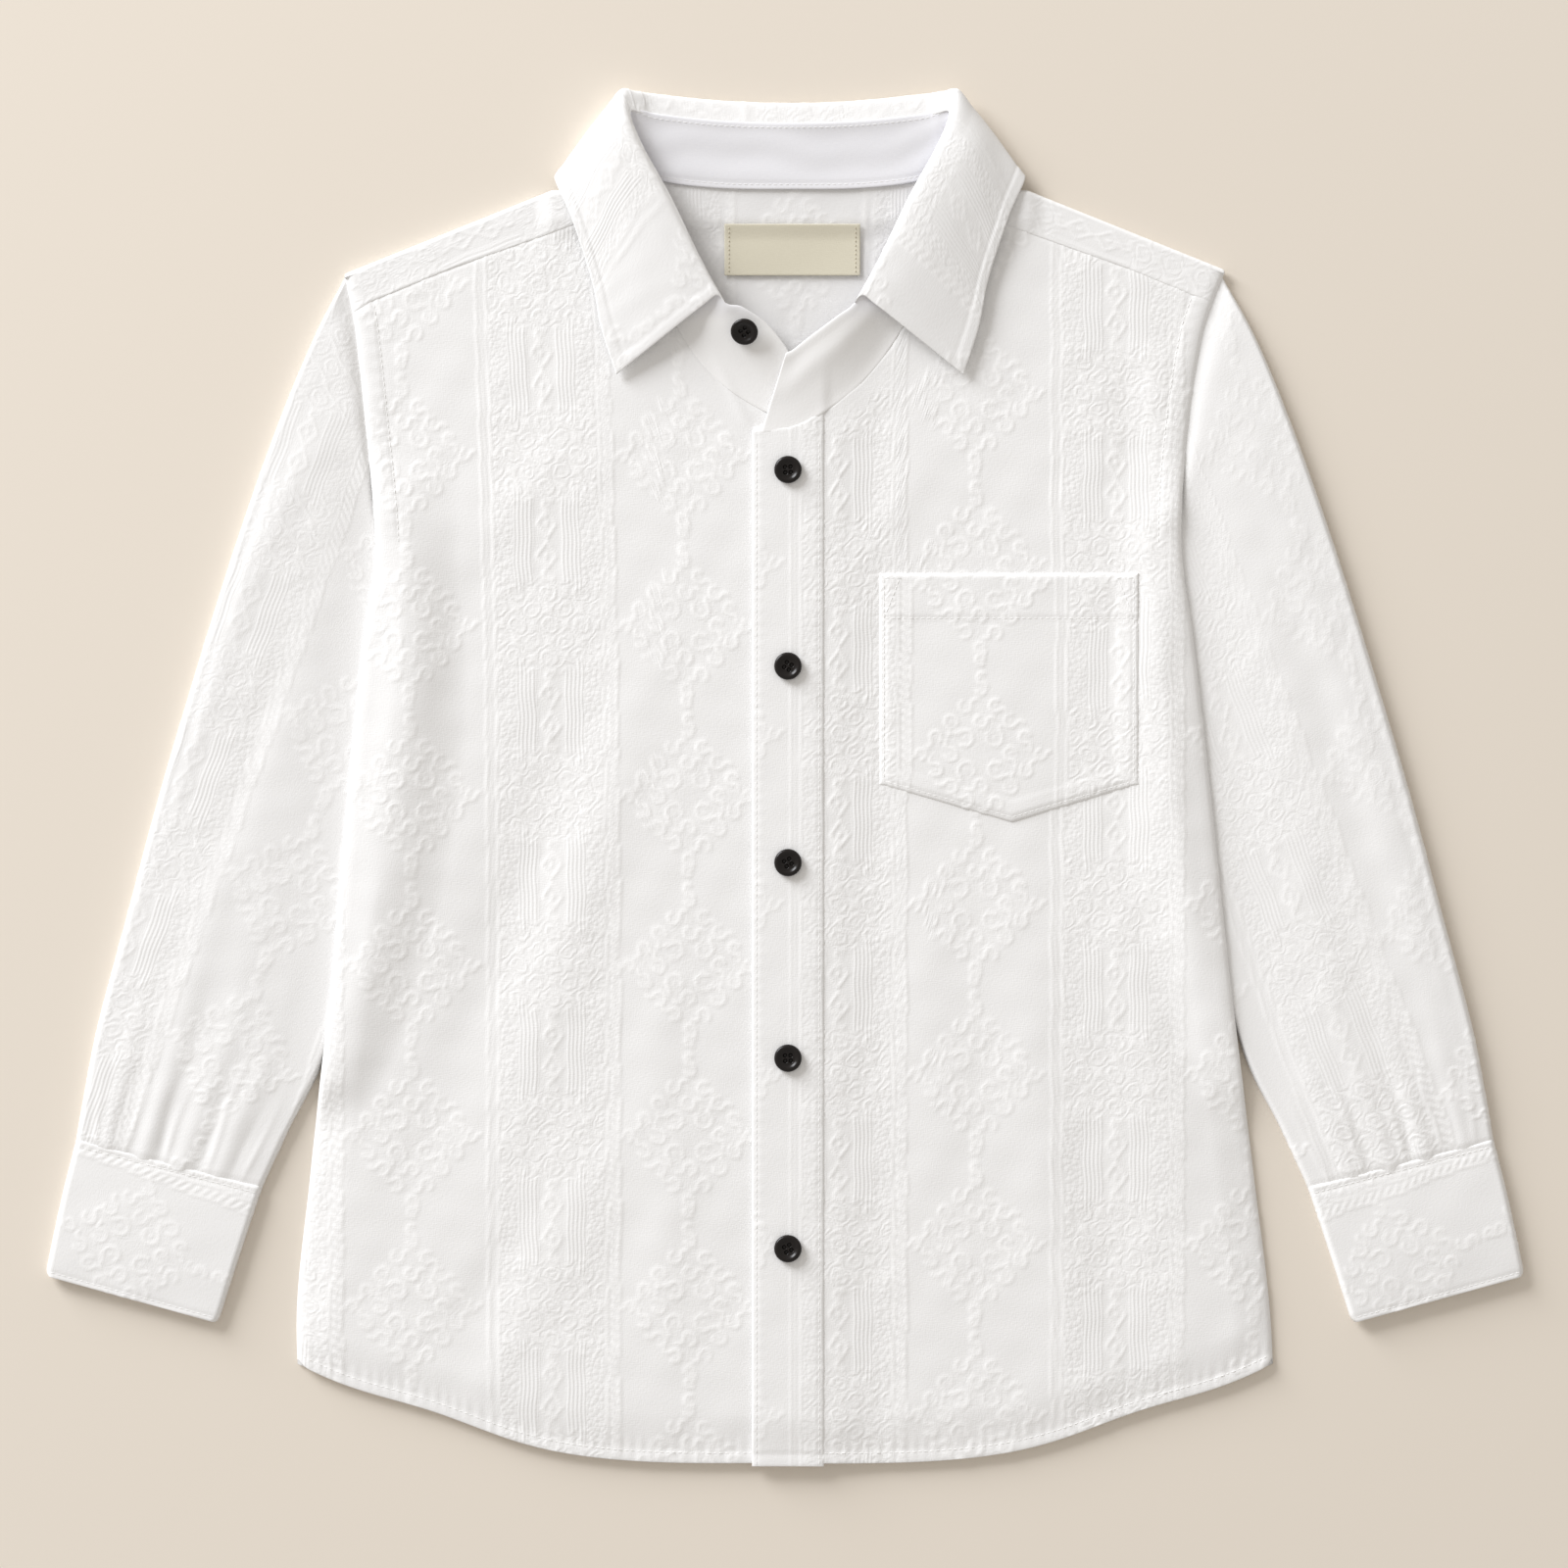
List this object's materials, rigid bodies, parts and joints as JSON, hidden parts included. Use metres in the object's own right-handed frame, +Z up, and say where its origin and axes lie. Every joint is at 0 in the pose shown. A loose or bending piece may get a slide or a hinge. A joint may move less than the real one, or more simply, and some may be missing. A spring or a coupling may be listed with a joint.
{
  "type": "long-sleeved shirt, laid flat",
  "caption": "Boy's long-sleeved jacquard cotton shirt laid flat, buttoned, with a pointed collar, chest pocket and curved hem.",
  "frame": {"origin": "bottom centre of the bounding box, on the surface that the shirt lies on", "axes": "+X across the shirt towards the wearer's left sleeve, +Y from the hem to the collar, +Z up from the surface"},
  "size_m": [0.6034, 0.5627, 0.0129],
  "materials": {
    "jacquard": "white self-colour cotton jacquard, matt ground with slightly raised figures",
    "plain_cloth": "plain white cotton, smooth and interlined",
    "label": "cream woven tape",
    "button": "black polyester, polished rim"
  },
  "bodies": {
    "root": {"back": "jacquard", "yoke": "jacquard", "front_right": "jacquard", "front_left": "jacquard", "placket": "jacquard", "pocket": "jacquard", "sleeve_right": "jacquard", "sleeve_left": "jacquard", "cuff_right": "jacquard", "cuff_left": "jacquard", "collar_leaf": "jacquard", "collar_stand": "plain_cloth", "label": "label", "button_1": "button", "button_2": "button", "button_3": "button", "button_4": "button", "button_5": "button", "button_6": "button"}
  },
  "joints": []
}
